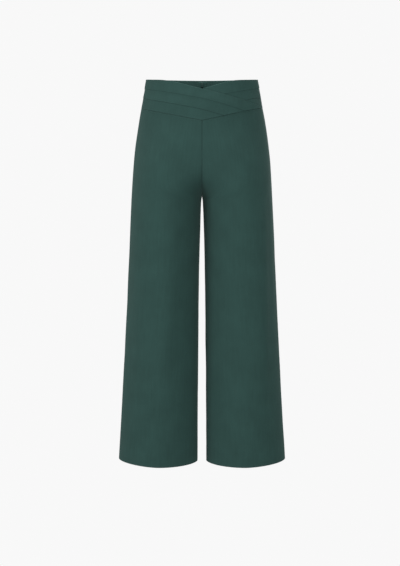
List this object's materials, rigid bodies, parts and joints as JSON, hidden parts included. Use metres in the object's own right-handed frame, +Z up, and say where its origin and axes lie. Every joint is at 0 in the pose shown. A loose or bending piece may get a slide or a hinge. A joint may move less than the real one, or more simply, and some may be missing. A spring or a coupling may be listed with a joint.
{
  "type": "suit trousers",
  "caption": "Wide-leg suit trousers with a cross-over, tucked waistband that dips to a V at the front, filled out and open at waist and hems.",
  "frame": {"origin": "middle of the waist opening, level with the waistband's top edge at the side seams", "axes": "+Z up, the front faces -Y, and the wearer's left is at +X"},
  "size_m": [0.4424, 0.2493, 0.9998],
  "materials": {
    "suiting": "matte dark green suiting, smooth, with a faint sheen",
    "zip_tape": "matte woven tape, dyed to match",
    "zip_metal": "satin lacquer, dyed to match"
  },
  "bodies": {
    "trousers": {"front_leg_right": "suiting", "front_leg_left": "suiting", "back_leg_right": "suiting", "back_leg_left": "suiting", "waistband_front_over": "suiting", "waistband_front_under": "suiting", "waistband_back_right": "suiting", "waistband_back_left": "suiting", "zip_tape_right": "zip_tape", "zip_tape_left": "zip_tape", "zip_slider": "zip_metal"},
    "zip_pull_tab": {"zip_pull": "zip_metal"}
  },
  "joints": [
    {"name": "zip_pull_swing", "type": "hinge", "parent": "trousers", "child": "zip_pull_tab", "pos_m": [0, 0.10312, -0.00874], "axis": [1, 0, 0], "range_deg": [0, 150]}
  ]
}
